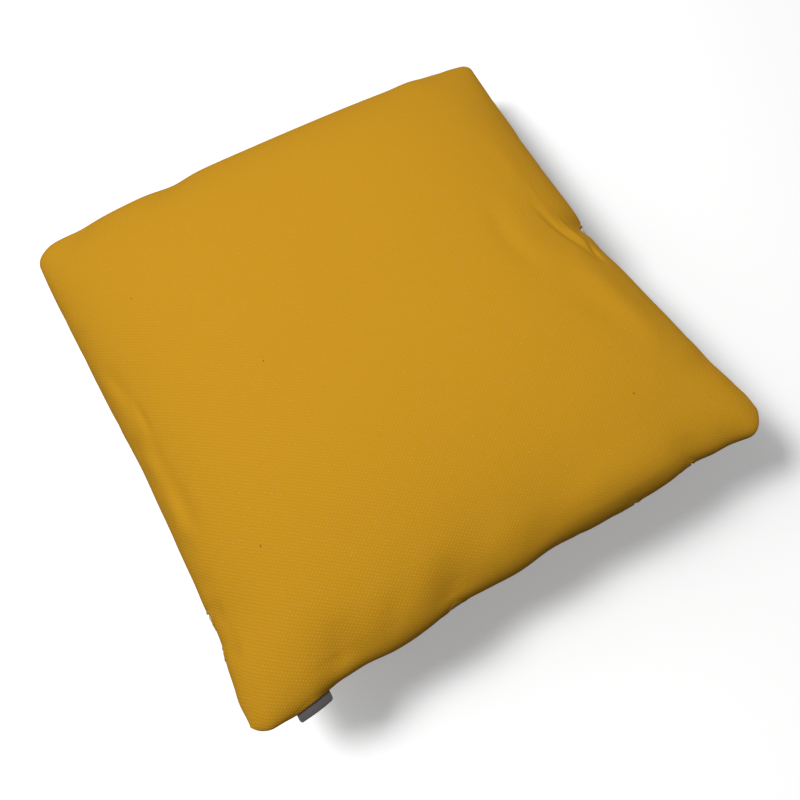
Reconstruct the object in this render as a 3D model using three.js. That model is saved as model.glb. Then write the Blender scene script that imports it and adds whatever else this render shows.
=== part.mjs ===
// A square throw cushion with a knife edge: two cloth panels sewn edge to edge, turned and filled,
// lying on its back, with a folded tape label caught in the seam near one corner.
//
// Millimetres, +Z up. The origin is on the resting surface, under the middle of the cushion's
// bounding box. The label's side faces -Y, and the label is near that side's -X end.

import * as THREE from 'three';

// Cushion: driving sizes
const SIDE = 490; // between two neighbouring corners of the filled cushion, if they were sharp
const HALF = SIDE / 2;
const SEAM_HEIGHT = 61; // seam above the resting surface, half-way along a side
const CROWN = 65; // middle of the front panel above the seam
const BELLY = 78; // how far the back panel would hang below the seam, were it not resting
// How full a panel is towards its sides: a higher power keeps its height up nearer to the seam, and a
// higher root makes it leave the seam more steeply
const CROWN_POWERS = { along: 2.85, root: 2 };
const BELLY_POWERS = { along: 2.3, root: 2 };
const REST_EASE = 4; // height over which the back panel turns into its flat

// Each side: how far its middle is drawn in, how evenly, and how far that shifts towards its end
const SIDES = {
  front: { draw: 5, power: 1, skew: 0.35 },
  right: { draw: 27.5, power: 0.9, skew: -0.26 },
  back: { draw: 4.5, power: 0.8, skew: 0.1 },
  left: { draw: 10.4, power: 0.63, skew: -0.94 },
};
const DRAW_REACH = 3; // power by which a drawn-in side fades towards the opposite one

// Each corner: its sign on X and Y, where its rounding starts on the sides along X and along Y, how
// far it droops below the seam's height (negative where it is turned up) and how far its tip is moved
const CORNERS = [
  { x: -1, y: -1, alongX: 24, alongY: 35, droop: -7.5, shift: [2.2, -1.3] },
  { x: 1, y: -1, alongX: 34, alongY: 66, droop: -12, shift: [-7.9, -1.2] },
  { x: 1, y: 1, alongX: 14, alongY: 14, droop: 8, shift: [0, 0] },
  { x: -1, y: 1, alongX: 23, alongY: 23, droop: 11, shift: [0, 0] },
];
const DROOP_POWER = 3; // how closely a droop and a shift keep to their corner

// Pinches of the seam: distance along the side from its middle, how far the seam is pulled in,
// how long the pinch is, and the hollow that runs from it into the panels
const PINCHES = [
  { side: 'front', at: -172, pull: 2.5, length: 13, hollow: 1.5 },
  { side: 'front', at: -151, pull: 3, length: 16, hollow: 2.5 },
  { side: 'front', at: -71, pull: 3, length: 17, hollow: 2.5 },
  { side: 'front', at: -46, pull: 2.5, length: 23, hollow: 1.5 },
  { side: 'front', at: 22, pull: 3, length: 25, hollow: 2.5 },
  { side: 'front', at: 158, pull: 4.5, length: 19, hollow: 3 },
  { side: 'front', at: 194, pull: 3.4, length: 19, hollow: 1 },
  { side: 'right', at: -187, pull: 1.4, length: 24, hollow: 0 },
  { side: 'right', at: -173, pull: 0, length: 8, hollow: 2 },
  { side: 'right', at: -132, pull: -0.9, length: 24, hollow: 0 },
  { side: 'right', at: -30, pull: 3, length: 27, hollow: 2 },
  { side: 'right', at: -10, pull: 2, length: 8, hollow: 6 },
  { side: 'right', at: 136, pull: -1, length: 22, hollow: 2 },
  { side: 'back', at: -198, pull: 1, length: 15, hollow: 3.5 },
  { side: 'back', at: -101, pull: 1, length: 16, hollow: 3.5 },
  { side: 'back', at: 161, pull: 1, length: 13, hollow: -3 },
  { side: 'left', at: -168, pull: 2, length: 16, hollow: 3 },
  { side: 'left', at: -24, pull: 1, length: 30, hollow: 1 },
];
const PINCH_REACH = 26; // how far into the panel the pull is felt
const HOLLOW_PEAK = 15; // from the seam to the deepest place of a hollow
const HOLLOW_SPREAD = 0.4; // how much wider a hollow grows with each such distance
const SEAM_SHARE = 0.3; // share of the swell over which hollows and creases fade out at the seam

// Creases of the front panel, each along a curve through three points: half-width and depth, where
// a ridge has a negative depth
const CREASES = {
  tuckTrough: { from: [158, 30], via: [173, -8], to: [185, -50], width: 8, depth: 4 },
  tuckRidge: { from: [168, 36], via: [182, 0], to: [190, -38], width: 8, depth: -2.5 },
  softDimple: { from: [129, 38], via: [120, -12], to: [132, -62], width: 11, depth: 1.8 },
  rightShoulder: { from: [165, -46], via: [178, -105], to: [204, -176], width: 13, depth: -2.5 },
  leftRidge: { from: [-231, 72], via: [-220, 0], to: [-221, -100], width: 7, depth: -1.4 },
  leftTrough: { from: [-221, 68], via: [-210, 0], to: [-209, -104], width: 7, depth: 1.8 },
  fullFrontEdge: { from: [-40, -232], via: [100, -230], to: [225, -222], width: 24, depth: -4.2 },
  fullFrontLeft: { from: [-250, -192], via: [-140, -200], to: [-30, -203], width: 26, depth: -1.4 },
};
const CREASE_STEPS = 24; // points tested along each crease

// Grid of each panel
const CELLS = 54; // along each side
const EDGE_CROWDING = 0.62; // 0 gives even cells, 1 gives the finest ones at the seam

// Label: a strip of woven tape folded in two, its cut ends caught in the seam
const LABEL = {
  middle: -192, // along the front side, from its middle
  length: 27.5,
  reach: 6.5, // from the seam to the fold
  tape: 0.8, // thickness of one layer
  parting: 0.5, // between the two layers
  droop: 1.5, // drop of the fold below the seam
  cornerRadius: 2,
};
const LABEL_GAP = 0.35; // clear space between the label and the seam
const LABEL_STATIONS = 14;
const FOLD_STEPS = 6;
const LAYER_STEPS = 4;

const gauss = (distance, width) => Math.exp(-((distance / width) ** 2));

function sideDraw(name, along) {
  const { draw, power, skew } = SIDES[name];
  const open = Math.max(0, 1 - along ** 2);
  return draw * open ** power * (1 + skew * along);
}

// Distance to each side and place along it, for a point of the sharp square
function sidePlaces(u, v) {
  return {
    front: { away: HALF * (1 + v), along: HALF * u, inward: [0, 1] },
    right: { away: HALF * (1 - u), along: HALF * v, inward: [-1, 0] },
    back: { away: HALF * (1 - v), along: HALF * u, inward: [0, -1] },
    left: { away: HALF * (1 + u), along: HALF * v, inward: [1, 0] },
  };
}

// Turns a sharp corner's square into a quarter of an ellipse, smoothly all over
function roundCorner(x, y) {
  const { alongX, alongY } = CORNERS.find((c) => c.x * x >= 0 && c.y * y >= 0);
  const overX = (Math.abs(x) - HALF + alongX) / alongX;
  const overY = (Math.abs(y) - HALF + alongY) / alongY;
  if (overX <= 0 || overY <= 0) return [x, y];
  return [
    Math.sign(x) * (HALF - alongX + alongX * overX * Math.sqrt(1 - overY ** 2 / 2)),
    Math.sign(y) * (HALF - alongY + alongY * overY * Math.sqrt(1 - overX ** 2 / 2)),
  ];
}

// Share of a corner's droop and shift that the panel's point (u, v) takes
function cornerShare(corner, u, v) {
  return (((1 + corner.x * u) / 2) * ((1 + corner.y * v) / 2)) ** DROOP_POWER;
}

// Plan position of the panel's point (u, v), each from -1 to 1
function planPoint(u, v) {
  const places = sidePlaces(u, v);
  let [x, y] = roundCorner(HALF * u, HALF * v);
  for (const corner of CORNERS) {
    const share = cornerShare(corner, u, v);
    x += corner.shift[0] * share;
    y += corner.shift[1] * share;
  }
  for (const [name, place] of Object.entries(places)) {
    const fade = (1 - place.away / SIDE) ** DRAW_REACH;
    const pull = sideDraw(name, place.along / HALF) * fade;
    x += place.inward[0] * pull;
    y += place.inward[1] * pull;
  }
  for (const pinch of PINCHES) {
    const place = places[pinch.side];
    const pull = pinch.pull * gauss(place.along - pinch.at, pinch.length) * gauss(place.away, PINCH_REACH);
    x += place.inward[0] * pull;
    y += place.inward[1] * pull;
  }
  return [x, y];
}

function seamHeight(u, v) {
  let height = SEAM_HEIGHT;
  for (const corner of CORNERS) height -= corner.droop * cornerShare(corner, u, v);
  return height;
}

function fullness(t, powers) {
  return Math.max(0, 1 - Math.abs(t) ** powers.along) ** (1 / powers.root);
}

function hollowDepth(u, v) {
  const places = sidePlaces(u, v);
  let depth = 0;
  for (const pinch of PINCHES) {
    const place = places[pinch.side];
    const run = place.away / HOLLOW_PEAK;
    const profile = run * Math.exp(1 - run);
    depth += pinch.hollow * profile * gauss(place.along - pinch.at, pinch.length * (1 + HOLLOW_SPREAD * run));
  }
  return depth;
}

const creaseLines = Object.values(CREASES).map(({ from, via, to, width, depth }) => {
  const curve = new THREE.SplineCurve([from, via, to].map(([x, y]) => new THREE.Vector2(x, y)));
  return { points: curve.getSpacedPoints(CREASE_STEPS), width, depth };
});

function creaseDepth(x, y) {
  let total = 0;
  for (const { points, width, depth } of creaseLines) {
    let nearest = Infinity;
    let place = 0;
    points.forEach((point, k) => {
      const away = Math.hypot(x - point.x, y - point.y);
      if (away < nearest) {
        nearest = away;
        place = k / CREASE_STEPS;
      }
    });
    total += depth * Math.sin(Math.PI * place) * gauss(nearest, width);
  }
  return total;
}

// Height of a surface that comes to rest on the plane z = 0 and turns into it softly
function rested(z) {
  if (z >= REST_EASE) return z;
  if (z <= -REST_EASE) return 0;
  return (z + REST_EASE) ** 2 / (4 * REST_EASE);
}

function frontPoint(u, v) {
  const [x, y] = planPoint(u, v);
  const swell = CROWN * fullness(u, CROWN_POWERS) * fullness(v, CROWN_POWERS);
  const edgeFade = Math.min(1, swell / (SEAM_SHARE * CROWN));
  const z = seamHeight(u, v) + swell - edgeFade * (hollowDepth(u, v) + creaseDepth(x, y));
  return [x, y, z];
}

function backPoint(u, v) {
  const [x, y] = planPoint(u, v);
  const sag = BELLY * fullness(u, BELLY_POWERS) * fullness(v, BELLY_POWERS);
  const edgeFade = Math.min(1, sag / (SEAM_SHARE * BELLY));
  return [x, y, rested(seamHeight(u, v) - sag + edgeFade * hollowDepth(u, v))];
}

// Grid places from -1 to 1, closer together towards both ends
function crowded(index, cells) {
  const even = (2 * index) / cells - 1;
  return even * (1 - EDGE_CROWDING) + Math.sin((Math.PI / 2) * even) * EDGE_CROWDING;
}

function geometryFrom(points, triangles) {
  const geometry = new THREE.BufferGeometry();
  geometry.setAttribute('position', new THREE.Float32BufferAttribute(points.flat(), 3));
  geometry.setIndex(triangles.flat());
  geometry.computeVertexNormals();
  return geometry;
}

function cushionGeometry() {
  const points = [];
  const triangles = [];
  const front = [];
  const back = [];
  for (let i = 0; i <= CELLS; i += 1) {
    front.push([]);
    back.push([]);
    for (let j = 0; j <= CELLS; j += 1) {
      const u = crowded(i, CELLS);
      const v = crowded(j, CELLS);
      const onSeam = i === 0 || j === 0 || i === CELLS || j === CELLS;
      front[i].push(points.push(frontPoint(u, v)) - 1);
      back[i].push(onSeam ? front[i][j] : points.push(backPoint(u, v)) - 1);
    }
  }
  for (let i = 0; i < CELLS; i += 1) {
    for (let j = 0; j < CELLS; j += 1) {
      const towardsCorner = i < CELLS / 2 === j < CELLS / 2;
      for (const [grid, turned] of [[front, false], [back, true]]) {
        const a = grid[i][j];
        const b = grid[i + 1][j];
        const c = grid[i + 1][j + 1];
        const d = grid[i][j + 1];
        const pair = towardsCorner ? [[a, b, c], [a, c, d]] : [[a, b, d], [b, c, d]];
        for (const [p, q, r] of pair) triangles.push(turned ? [p, r, q] : [p, q, r]);
      }
    }
  }
  return geometryFrom(points, triangles);
}

// Seam of the front side at a distance along it from its middle
function frontSeam(along) {
  const [x, y] = planPoint(along / HALF, -1);
  return [x, y, seamHeight(along / HALF, -1)];
}

// Centre line of the folded tape: out along the lower layer, round the fold and back, as distance
// from the seam and height above the label's middle
function tapeLine(reach) {
  const radius = (LABEL.parting + LABEL.tape) / 2;
  const start = LABEL_GAP;
  const turn = reach - LABEL.tape / 2 - radius;
  const line = [];
  for (let k = 0; k <= LAYER_STEPS; k += 1) {
    line.push([start + ((turn - start) * k) / LAYER_STEPS, -radius]);
  }
  for (let k = 1; k < FOLD_STEPS; k += 1) {
    const angle = -Math.PI / 2 + (Math.PI * k) / FOLD_STEPS;
    line.push([turn + radius * Math.cos(angle), radius * Math.sin(angle)]);
  }
  for (let k = LAYER_STEPS; k >= 0; k -= 1) {
    line.push([start + ((turn - start) * k) / LAYER_STEPS, radius]);
  }
  return line;
}

function labelGeometry() {
  const points = [];
  const skins = [];
  for (let i = 0; i <= LABEL_STATIONS; i += 1) {
    const even = (2 * i) / LABEL_STATIONS - 1;
    const place = Math.sin((Math.PI / 2) * even);
    const along = LABEL.middle + (place * LABEL.length) / 2;
    const fromEnd = LABEL.length / 2 - Math.abs(along - LABEL.middle);
    const inRound = Math.max(0, LABEL.cornerRadius - fromEnd);
    const cut = LABEL.cornerRadius - Math.sqrt(LABEL.cornerRadius ** 2 - inRound ** 2);
    const line = tapeLine(LABEL.reach - cut);
    const [x, y, z] = frontSeam(along);
    const outer = [];
    const inner = [];
    line.forEach(([out, up], k) => {
      const before = line[Math.max(0, k - 1)];
      const after = line[Math.min(line.length - 1, k + 1)];
      const run = Math.hypot(after[0] - before[0], after[1] - before[1]);
      const normal = [(after[1] - before[1]) / run, -(after[0] - before[0]) / run];
      for (const [skin, side] of [[outer, 1], [inner, -1]]) {
        const reach = out + (side * normal[0] * LABEL.tape) / 2;
        const rise = up + (side * normal[1] * LABEL.tape) / 2;
        const drop = LABEL.droop * (reach / LABEL.reach) ** 2;
        skin.push(points.push([x, y - reach, z + rise - drop]) - 1);
      }
    });
    skins.push({ outer, inner });
  }
  const triangles = [];
  const quad = (a, b, c, d) => triangles.push([a, c, b], [a, d, c]);
  const last = skins[0].outer.length - 1;
  for (let i = 0; i < LABEL_STATIONS; i += 1) {
    const here = skins[i];
    const next = skins[i + 1];
    for (let k = 0; k < last; k += 1) {
      quad(here.outer[k], here.outer[k + 1], next.outer[k + 1], next.outer[k]);
      quad(here.inner[k], next.inner[k], next.inner[k + 1], here.inner[k + 1]);
    }
    quad(here.outer[0], next.outer[0], next.inner[0], here.inner[0]);
    quad(here.outer[last], here.inner[last], next.inner[last], next.outer[last]);
  }
  for (let k = 0; k < last; k += 1) {
    const first = skins[0];
    const end = skins[LABEL_STATIONS];
    quad(first.outer[k], first.inner[k], first.inner[k + 1], first.outer[k + 1]);
    quad(end.outer[k], end.outer[k + 1], end.inner[k + 1], end.inner[k]);
  }
  return geometryFrom(points, triangles);
}

const mustardCloth = new THREE.MeshStandardMaterial({ color: 0xc9922a, roughness: 0.95, metalness: 0 });
const greyTape = new THREE.MeshStandardMaterial({ color: 0x55504f, roughness: 0.85, metalness: 0 });

const cushion = new THREE.Mesh(cushionGeometry(), mustardCloth);
cushion.name = 'cushion';

const labelTab = new THREE.Mesh(labelGeometry(), greyTape);
labelTab.name = 'label_tab';

const throwCushion = new THREE.Group();
throwCushion.add(cushion, labelTab);
const middle = new THREE.Box3().setFromObject(throwCushion).getCenter(new THREE.Vector3());
throwCushion.position.set(-middle.x, -middle.y, 0);

export default throwCushion;
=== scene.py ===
"""A square throw cushion with a knife edge, lying on its back, with a folded tape label in its seam.

Metres throughout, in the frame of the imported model: +Z up and the resting surface at z = 0. The form
repeats the named sizes and formulas of the part's source on a much finer net of cells. The seam, its
puckers, the weave and the finer creases are added here.
"""

import logging
import math
from dataclasses import dataclass
from enum import Enum
from typing import Any

import bpy
import numpy as np
from mathutils import Matrix, Vector


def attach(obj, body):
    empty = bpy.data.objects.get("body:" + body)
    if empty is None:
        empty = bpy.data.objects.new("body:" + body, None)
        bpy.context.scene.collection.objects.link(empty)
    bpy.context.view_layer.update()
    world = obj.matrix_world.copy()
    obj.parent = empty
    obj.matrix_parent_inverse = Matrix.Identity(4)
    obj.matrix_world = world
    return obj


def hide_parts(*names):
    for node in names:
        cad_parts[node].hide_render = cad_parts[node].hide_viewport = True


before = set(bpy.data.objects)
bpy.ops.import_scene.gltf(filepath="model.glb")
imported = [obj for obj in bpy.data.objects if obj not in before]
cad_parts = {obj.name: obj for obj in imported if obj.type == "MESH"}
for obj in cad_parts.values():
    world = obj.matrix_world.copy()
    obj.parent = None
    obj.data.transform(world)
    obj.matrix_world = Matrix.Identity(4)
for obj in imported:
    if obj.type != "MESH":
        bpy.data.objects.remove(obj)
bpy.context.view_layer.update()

LOG = logging.getLogger("throw_cushion")

BODY = "root"
CLOTH_MAP = "cloth"
SEAM_MAP = "seam"
BAKE_MAP = "OFBake"
CURVE_STEPS = 60


def bell(distance: np.ndarray, width: float | np.ndarray) -> np.ndarray:
    """A smooth bump of height 1 that falls off over the given width."""
    return np.exp(-((distance / width) ** 2))


def eased(even: np.ndarray, crowding: float) -> np.ndarray:
    """Places from -1 to 1 drawn together towards both ends: crowding 0 leaves them even."""
    return even * (1 - crowding) + np.sin(math.pi / 2 * even) * crowding


def bent_line(start: np.ndarray, via: np.ndarray, end: np.ndarray, steps: int) -> np.ndarray:
    """Even points along a smooth curve through three points.

    Args:
        start: The first point, x and y.
        via: The point it passes half-way.
        end: The last point.
        steps: How many stretches the curve has.

    Returns:
        The points, one row each.
    """
    knots = np.array([start, start, via, end, end], float)
    fine = []
    for first in range(2):
        before, here, there, after = knots[first : first + 4]
        t = np.linspace(0, 1, CURVE_STEPS, endpoint=first == 1)[:, None]
        leave = (there - before) / 2
        arrive = (after - here) / 2
        fine.append(
            (2 * here - 2 * there + leave + arrive) * t**3
            + (3 * there - 3 * here - 2 * leave - arrive) * t**2
            + leave * t
            + here
        )
    line = np.concatenate(fine)
    run = np.concatenate([[0], np.cumsum(np.hypot(*np.diff(line, axis=0).T))])
    at = np.linspace(0, run[-1], steps + 1)
    return np.stack([np.interp(at, run, line[:, axis]) for axis in range(2)], axis=1)


class Side(Enum):
    """A side of the cushion, with the direction that points from it into the panel."""

    FRONT = (0, 1)
    RIGHT = (-1, 0)
    BACK = (0, -1)
    LEFT = (1, 0)

    def places(self, u: np.ndarray, v: np.ndarray, half: float) -> tuple[np.ndarray, np.ndarray]:
        """Distance from this side and place along it.

        Args:
            u: Panel place along X, from -1 to 1.
            v: Panel place along Y, from -1 to 1.
            half: Half the side's length.

        Returns:
            The distance from the side, and the distance along it from its middle.
        """
        inward_x, inward_y = self.value
        away = half * (1 + inward_x * u + inward_y * v)
        along = half * (u if inward_x == 0 else v)
        return away, along


class Panel(Enum):
    """The two pieces of cloth that the cover is sewn from."""

    FRONT = 0
    BACK = 1


@dataclass(frozen=True)
class SideShape:
    """How one side runs between its corners.

    Attributes:
        draw: How far its middle is drawn in.
        power: How evenly it is drawn in.
        skew: How far the draw shifts towards its end.
        tuck: How far the seam lies below the widest line, in the middle of the side.
    """

    draw: float
    power: float
    skew: float
    tuck: float


@dataclass(frozen=True)
class Corner:
    """A rounded corner.

    Attributes:
        x: Its sign on X.
        y: Its sign on Y.
        along_x: Where its rounding starts on the side along X.
        along_y: Where it starts on the side along Y.
        droop: How far it droops below the seam's height, negative where it is turned up.
        shift: How far its tip is moved, on X and on Y.
    """

    x: int
    y: int
    along_x: float
    along_y: float
    droop: float
    shift: tuple[float, float] = (0.0, 0.0)

    def nearness(self, u: np.ndarray, v: np.ndarray) -> np.ndarray:
        """How near the panel's points are to the corner: 1 at its tip and 0 on the two far sides."""
        return (1 + self.x * u) / 2 * (1 + self.y * v) / 2

    def rounded(self, x: np.ndarray, y: np.ndarray, half: float) -> tuple[np.ndarray, np.ndarray]:
        """Turns the corner's square into a quarter of an ellipse, smoothly all over.

        Args:
            x: Places on the sharp square along X.
            y: Places along Y.
            half: Half the square's side.

        Returns:
            The places moved in.
        """
        straight_x, straight_y = half - self.along_x, half - self.along_y
        over_x = (self.x * x - straight_x) / self.along_x
        over_y = (self.y * y - straight_y) / self.along_y
        inside = (over_x > 0) & (over_y > 0)
        round_x = straight_x + self.along_x * over_x * np.sqrt(np.maximum(0, 1 - over_y**2 / 2))
        round_y = straight_y + self.along_y * over_y * np.sqrt(np.maximum(0, 1 - over_x**2 / 2))
        return np.where(inside, self.x * round_x, x), np.where(inside, self.y * round_y, y)


@dataclass(frozen=True)
class Pinch:
    """A place where the seam is gathered.

    Attributes:
        side: The side it is on.
        at: Distance along that side from its middle.
        pull: How far the seam is pulled in.
        length: Half-length of the pinch.
        hollow: Depth of the hollow that runs from it into the panels.
    """

    side: Side
    at: float
    pull: float
    length: float
    hollow: float


@dataclass(frozen=True)
class SeamRise:
    """A place where the seam climbs out from under the edge, so that the reverse cloth peeps out.

    Attributes:
        side: The side it is on.
        at: Distance along that side from its middle.
        height: How far the seam climbs over the cloth.
        length: Half-length of the rise.
    """

    side: Side
    at: float
    height: float
    length: float


@dataclass(frozen=True)
class Crease:
    """A soft trough, or a ridge where its depth is negative, in the front panel.

    Attributes:
        start: Its first end in plan, x and y.
        via: The place that it passes half-way.
        end: Its other end.
        width: Its half-width.
        depth: Depth in its middle, from where it fades out to both ends.
    """

    start: tuple[float, float]
    via: tuple[float, float]
    end: tuple[float, float]
    width: float
    depth: float


@dataclass(frozen=True)
class CushionForm:
    """The filled cushion's surface, in the frame in which its sides were measured.

    Attributes:
        side: Between two neighbouring corners, if they were sharp.
        seam_height: Widest line above the resting surface, half-way along a side.
        crown: Middle of the front panel above that line.
        belly: How far the back panel would hang below it, were it not resting.
        crown_along: How full the front panel is towards its sides.
        belly_along: How full the back panel is towards its sides.
        rest_ease: Height over which the back panel turns into its flat.
        draw_reach: Power by which a drawn-in side fades towards the opposite one.
        droop_power: How closely a droop keeps to its corner.
        pinch_reach: How far into the panel a pinch is felt.
        hollow_peak: From the seam to the deepest place of a hollow.
        hollow_spread: How much wider a hollow grows with each such distance.
        seam_share: Share of the swell over which hollows and creases fade out at the seam.
        corner_tuck: How far below the widest line the seam lies at the corners.
    """

    side: float = 0.490
    seam_height: float = 0.061
    crown: float = 0.065
    belly: float = 0.078
    crown_along: float = 2.85
    belly_along: float = 2.3
    rest_ease: float = 0.004
    draw_reach: float = 3
    droop_power: float = 3
    pinch_reach: float = 0.026
    hollow_peak: float = 0.015
    hollow_spread: float = 0.4
    seam_share: float = 0.3
    corner_tuck: float = 0.009

    SIDES = {
        Side.FRONT: SideShape(draw=0.0050, power=1.0, skew=0.35, tuck=0.015),
        Side.RIGHT: SideShape(draw=0.0275, power=0.9, skew=-0.26, tuck=0.008),
        Side.BACK: SideShape(draw=0.0045, power=0.8, skew=0.10, tuck=0.010),
        Side.LEFT: SideShape(draw=0.0104, power=0.63, skew=-0.94, tuck=0.015),
    }
    CORNERS = (
        Corner(x=-1, y=-1, along_x=0.024, along_y=0.035, droop=-0.0075, shift=(0.0022, -0.0013)),
        Corner(x=1, y=-1, along_x=0.034, along_y=0.066, droop=-0.0120, shift=(-0.0079, -0.0012)),
        Corner(x=1, y=1, along_x=0.014, along_y=0.014, droop=0.008),
        Corner(x=-1, y=1, along_x=0.023, along_y=0.023, droop=0.011),
    )
    PINCHES = (
        Pinch(Side.FRONT, at=-0.172, pull=0.0025, length=0.013, hollow=0.0015),
        Pinch(Side.FRONT, at=-0.151, pull=0.0030, length=0.016, hollow=0.0025),
        Pinch(Side.FRONT, at=-0.071, pull=0.0030, length=0.017, hollow=0.0025),
        Pinch(Side.FRONT, at=-0.046, pull=0.0025, length=0.023, hollow=0.0015),
        Pinch(Side.FRONT, at=0.022, pull=0.0030, length=0.025, hollow=0.0025),
        Pinch(Side.FRONT, at=0.158, pull=0.0045, length=0.019, hollow=0.0030),
        Pinch(Side.FRONT, at=0.194, pull=0.0034, length=0.019, hollow=0.0010),
        Pinch(Side.RIGHT, at=-0.187, pull=0.0014, length=0.024, hollow=0.0),
        Pinch(Side.RIGHT, at=-0.173, pull=0.0, length=0.008, hollow=0.0020),
        Pinch(Side.RIGHT, at=-0.132, pull=-0.0009, length=0.024, hollow=0.0),
        Pinch(Side.RIGHT, at=-0.030, pull=0.0030, length=0.027, hollow=0.0020),
        Pinch(Side.RIGHT, at=-0.010, pull=0.0020, length=0.008, hollow=0.0060),
        Pinch(Side.RIGHT, at=0.136, pull=-0.0010, length=0.022, hollow=0.0020),
        Pinch(Side.BACK, at=-0.198, pull=0.0010, length=0.015, hollow=0.0035),
        Pinch(Side.BACK, at=-0.101, pull=0.0010, length=0.016, hollow=0.0035),
        Pinch(Side.BACK, at=0.161, pull=0.0010, length=0.013, hollow=-0.0030),
        Pinch(Side.LEFT, at=-0.168, pull=0.0020, length=0.016, hollow=0.0030),
        Pinch(Side.LEFT, at=-0.024, pull=0.0010, length=0.030, hollow=0.0010),
    )
    RISES = {
        "right side's notch": SeamRise(Side.RIGHT, at=-0.0095, height=0.0250, length=0.0070),
        "left side": SeamRise(Side.LEFT, at=-0.1555, height=0.0204, length=0.0075),
        "left side, by the corner": SeamRise(Side.LEFT, at=-0.1825, height=0.0170, length=0.0055),
        "front side, left of its middle": SeamRise(Side.FRONT, at=-0.069, height=0.0174, length=0.0090),
        "front side, right of its middle": SeamRise(Side.FRONT, at=0.094, height=0.0170, length=0.0090),
        "front side, by the corner": SeamRise(Side.FRONT, at=0.1545, height=0.0174, length=0.0065),
        "label's seat": SeamRise(Side.FRONT, at=-0.192, height=0.0116, length=0.018),
    }
    CREASES = {
        "notch trough": Crease((0.163, 0.021), (0.1735, -0.0205), (0.190, -0.053), 0.0034, 0.0026),
        "notch pit": Crease((0.176, -0.036), (0.184, -0.047), (0.191, -0.062), 0.0048, 0.0016),
        "notch ridge's tail": Crease((0.179, 0.050), (0.174, 0.020), (0.181, -0.012), 0.0028, -0.0004),
        "notch ridge": Crease((0.180, 0.000), (0.184, -0.020), (0.190, -0.041), 0.0028, -0.0020),
        "notch flap": Crease((0.192, -0.030), (0.190, -0.042), (0.191, -0.057), 0.0028, 0.0020),
        "dimple": Crease((0.129, 0.038), (0.120, -0.012), (0.132, -0.062), 0.0085, 0.0014),
        "swell beside the dimple": Crease((0.150, 0.044), (0.139, -0.012), (0.160, -0.062), 0.0120, -0.0008),
        "inner fold": Crease((0.124, -0.060), (0.146, -0.095), (0.172, -0.142), 0.0120, 0.0009),
        "right shoulder": Crease((0.162, -0.036), (0.171, -0.088), (0.184, -0.156), 0.0145, -0.0030),
        "upper right shoulder": Crease((0.178, 0.112), (0.175, 0.066), (0.168, 0.028), 0.0100, -0.0010),
        "left back ridge": Crease((-0.233, 0.075), (-0.2245, 0.030), (-0.2215, -0.004), 0.0050, -0.0009),
        "left back trough": Crease((-0.226, 0.076), (-0.2185, 0.048), (-0.213, 0.022), 0.0050, 0.0012),
        "left sharp trough": Crease((-0.2125, 0.026), (-0.2105, 0.008), (-0.2105, -0.012), 0.0030, 0.0016),
        "left mid ridge": Crease((-0.2235, -0.012), (-0.2215, -0.034), (-0.2215, -0.052), 0.0045, -0.0017),
        "left mid trough": Crease((-0.210, -0.004), (-0.212, -0.030), (-0.211, -0.054), 0.0045, 0.0009),
        "left front ridge": Crease((-0.220, -0.046), (-0.220, -0.072), (-0.221, -0.100), 0.0050, -0.0014),
        "left front trough": Crease((-0.211, -0.040), (-0.210, -0.070), (-0.209, -0.104), 0.0060, 0.0018),
        "back left hollow": Crease((-0.246, 0.122), (-0.235, 0.117), (-0.227, 0.110), 0.0060, 0.0016),
        "first left hollow": Crease((-0.240, -0.002), (-0.2295, -0.006), (-0.222, -0.010), 0.0060, 0.0030),
        "second left hollow": Crease((-0.236, -0.100), (-0.226, -0.102), (-0.214, -0.105), 0.0070, 0.0016),
        "third left hollow": Crease((-0.238, -0.130), (-0.227, -0.133), (-0.212, -0.138), 0.0080, 0.0014),
        "fourth left hollow": Crease((-0.238, -0.154), (-0.228, -0.155), (-0.216, -0.157), 0.0060, 0.0026),
        "swell past that": Crease((-0.234, -0.170), (-0.220, -0.171), (-0.204, -0.172), 0.0070, -0.0008),
        "fifth left hollow": Crease((-0.238, -0.184), (-0.229, -0.186), (-0.216, -0.190), 0.0060, 0.0028),
        "label's trough": Crease((-0.164, -0.240), (-0.157, -0.226), (-0.150, -0.206), 0.0070, 0.0012),
        "label's ridge": Crease((-0.142, -0.236), (-0.132, -0.222), (-0.118, -0.200), 0.0100, -0.0008),
        "second front trough": Crease((-0.130, -0.240), (-0.116, -0.228), (-0.098, -0.208), 0.0070, 0.0008),
        "second front ridge": Crease((-0.104, -0.234), (-0.084, -0.218), (-0.056, -0.192), 0.0120, -0.0010),
        "third front trough": Crease((-0.092, -0.240), (-0.070, -0.229), (-0.048, -0.214), 0.0080, 0.0010),
        "third front ridge": Crease((-0.052, -0.234), (-0.026, -0.222), (0.006, -0.202), 0.0120, -0.0009),
        "fourth front trough": Crease((-0.012, -0.240), (0.006, -0.230), (0.026, -0.216), 0.0090, 0.0008),
        "fourth front ridge": Crease((0.018, -0.234), (0.050, -0.223), (0.088, -0.205), 0.0120, -0.0007),
        "full front edge": Crease((-0.040, -0.232), (0.100, -0.230), (0.225, -0.222), 0.0240, -0.0042),
        "fuller front left": Crease((-0.250, -0.192), (-0.140, -0.200), (-0.030, -0.203), 0.0260, -0.0014),
    }
    CREASE_STEPS = 48
    # How many widths from its line a crease is felt
    CREASE_WINDOW = 3

    @property
    def half(self) -> float:
        """Half the side's length."""
        return self.side / 2

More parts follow.
